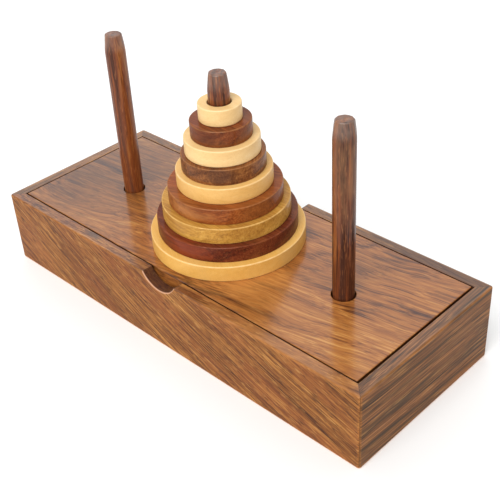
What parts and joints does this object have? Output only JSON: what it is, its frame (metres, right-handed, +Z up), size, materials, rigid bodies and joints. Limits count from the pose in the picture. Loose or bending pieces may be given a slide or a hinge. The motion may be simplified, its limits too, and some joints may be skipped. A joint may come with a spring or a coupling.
{
  "type": "tower of hanoi puzzle",
  "caption": "Disc-stacking puzzle: graded turned wooden discs on the middle of a row of loose pegs, standing in the lift-off lid of a mitred wooden storage box.",
  "frame": {"origin": "middle of the box's underside, on the surface that it stands on", "axes": "+X along the box's long side and the row of pegs, -Y out of the front wall, +Z up along the pegs"},
  "size_m": [0.28, 0.111, 0.1495],
  "materials": {
    "box_wood": "satin lacquered, mid red-brown with darker streaks",
    "inner_wood": "plain, unlacquered",
    "lid_wood": "satin lacquered, orange-brown with dark wavy streaks",
    "peg_wood": "polished, dark red-brown with lengthwise streaks",
    "cream_wood": "smooth turned, cream",
    "yellow_cream_wood": "smooth turned, yellow cream",
    "dark_brown_wood": "smooth turned, dark brown",
    "streaked_brown_wood": "smooth turned, mid brown with a dark streak",
    "red_brown_wood": "smooth turned, reddish brown",
    "golden_wood": "smooth turned, golden tan",
    "dark_red_wood": "smooth turned, dark red-brown"
  },
  "bodies": {
    "box": {"front_wall": "box_wood", "back_wall": "box_wood", "left_end_wall": "box_wood", "right_end_wall": "box_wood", "bottom_panel": "inner_wood", "left_lid_rest": "inner_wood", "right_lid_rest": "inner_wood"},
    "lid": {"lid": "lid_wood"},
    "left_peg": {"left_peg": "peg_wood"},
    "middle_peg": {"middle_peg": "peg_wood"},
    "right_peg": {"right_peg": "peg_wood"},
    "disc_1": {"disc_1": "cream_wood"},
    "disc_2": {"disc_2": "dark_brown_wood"},
    "disc_3": {"disc_3": "cream_wood"},
    "disc_4": {"disc_4": "streaked_brown_wood"},
    "disc_5": {"disc_5": "yellow_cream_wood"},
    "disc_6": {"disc_6": "red_brown_wood"},
    "disc_7": {"disc_7": "golden_wood"},
    "disc_8": {"disc_8": "dark_red_wood"},
    "disc_9": {"disc_9": "yellow_cream_wood"}
  },
  "joints": [
    {"name": "lid_lift", "type": "slide", "parent": "box", "child": "lid", "axis": [0, 0, 1], "range_m": [0, 0.08]},
    {"name": "left_peg_pull", "type": "slide", "parent": "lid", "child": "left_peg", "axis": [0, 0, 1], "range_m": [0, 0.015]},
    {"name": "middle_peg_pull", "type": "slide", "parent": "lid", "child": "middle_peg", "axis": [0, 0, 1], "range_m": [0, 0.101]},
    {"name": "right_peg_pull", "type": "slide", "parent": "lid", "child": "right_peg", "axis": [0, 0, 1], "range_m": [0, 0.015]},
    {"name": "disc_9_lift", "type": "slide", "parent": "lid", "child": "disc_9", "axis": [0, 0, 1], "range_m": [0, 0.105]},
    {"name": "disc_8_lift", "type": "slide", "parent": "disc_9", "child": "disc_8", "axis": [0, 0, 1], "range_m": [0, 0.0955]},
    {"name": "disc_7_lift", "type": "slide", "parent": "disc_8", "child": "disc_7", "axis": [0, 0, 1], "range_m": [0, 0.086]},
    {"name": "disc_6_lift", "type": "slide", "parent": "disc_7", "child": "disc_6", "axis": [0, 0, 1], "range_m": [0, 0.0765]},
    {"name": "disc_5_lift", "type": "slide", "parent": "disc_6", "child": "disc_5", "axis": [0, 0, 1], "range_m": [0, 0.067]},
    {"name": "disc_4_lift", "type": "slide", "parent": "disc_5", "child": "disc_4", "axis": [0, 0, 1], "range_m": [0, 0.0575]},
    {"name": "disc_3_lift", "type": "slide", "parent": "disc_4", "child": "disc_3", "axis": [0, 0, 1], "range_m": [0, 0.048]},
    {"name": "disc_2_lift", "type": "slide", "parent": "disc_3", "child": "disc_2", "axis": [0, 0, 1], "range_m": [0, 0.0385]},
    {"name": "disc_1_lift", "type": "slide", "parent": "disc_2", "child": "disc_1", "axis": [0, 0, 1], "range_m": [0, 0.029]}
  ]
}
